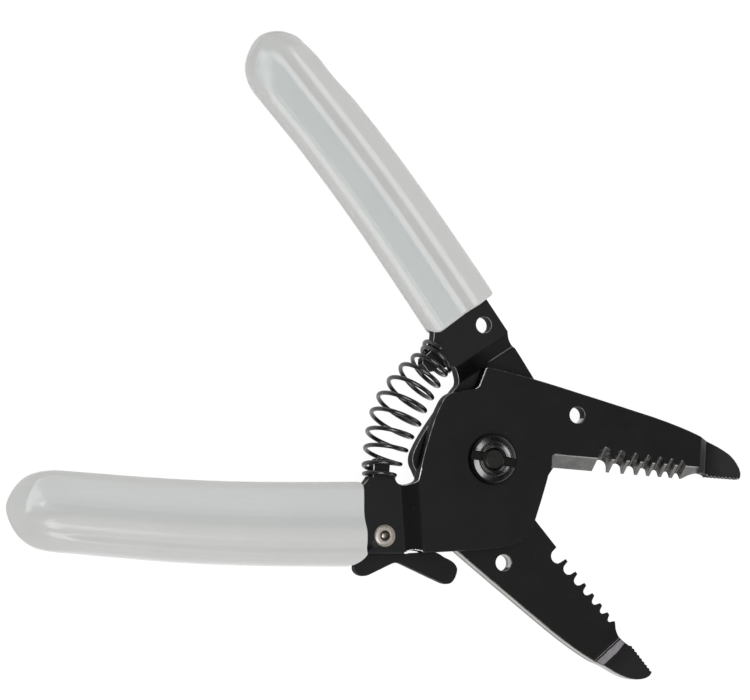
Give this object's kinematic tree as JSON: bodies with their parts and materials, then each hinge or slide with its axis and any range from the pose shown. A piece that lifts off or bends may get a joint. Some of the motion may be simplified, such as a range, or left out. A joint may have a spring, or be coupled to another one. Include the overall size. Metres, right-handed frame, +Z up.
{
  "type": "wire stripping pliers",
  "caption": "Spring-opened wire stripping pliers: two pivoted stamped steel halves with graded wire notches, a serrated nose, a lock lever and soft pale grips.",
  "frame": {"origin": "pivot axis where the pivot bolt's head rests on the table", "axes": "+Z up along the pivot axis with the tool lying on its back, +X along the front half's cutting edge towards the nose, +Y towards the upper handle's side"},
  "size_m": [0.1577, 0.1266, 0.0116],
  "materials": {
    "blade_steel": "black oxide, satin, with ground bare cutting edges",
    "grip_vinyl": "soft glossy vinyl, pale grey",
    "pivot_steel": "turned, dark oxide",
    "spring_wire": "glossy black spring wire",
    "lever_steel": "black oxide, satin",
    "rivet_nickel": "bright nickel"
  },
  "bodies": {
    "front": {"front_half": "blade_steel", "lower_grip": "grip_vinyl", "pivot_bolt": "pivot_steel", "pivot_rear_washer": "pivot_steel", "pivot_nut": "pivot_steel", "lock_rivet": "rivet_nickel", "lock_spring_washer": "rivet_nickel", "return_spring": "spring_wire"},
    "rear": {"rear_half": "blade_steel", "upper_grip": "grip_vinyl"},
    "lever": {"lock_lever": "lever_steel"}
  },
  "joints": [
    {"name": "handle_hinge", "type": "hinge", "parent": "front", "child": "rear", "pos_m": [0, 0, 0.0058], "axis": [0, 0, 1], "range_deg": [0, 46.6], "stiffness_Nm_per_rad": 0.6, "springref_deg": -20.05, "deforming": ["return_spring"]},
    {"name": "lock_pivot", "type": "hinge", "parent": "front", "child": "lever", "pos_m": [-0.0217, -0.0172, 0.0035], "axis": [0, 0, 1], "range_deg": [0, 6.5]}
  ]
}
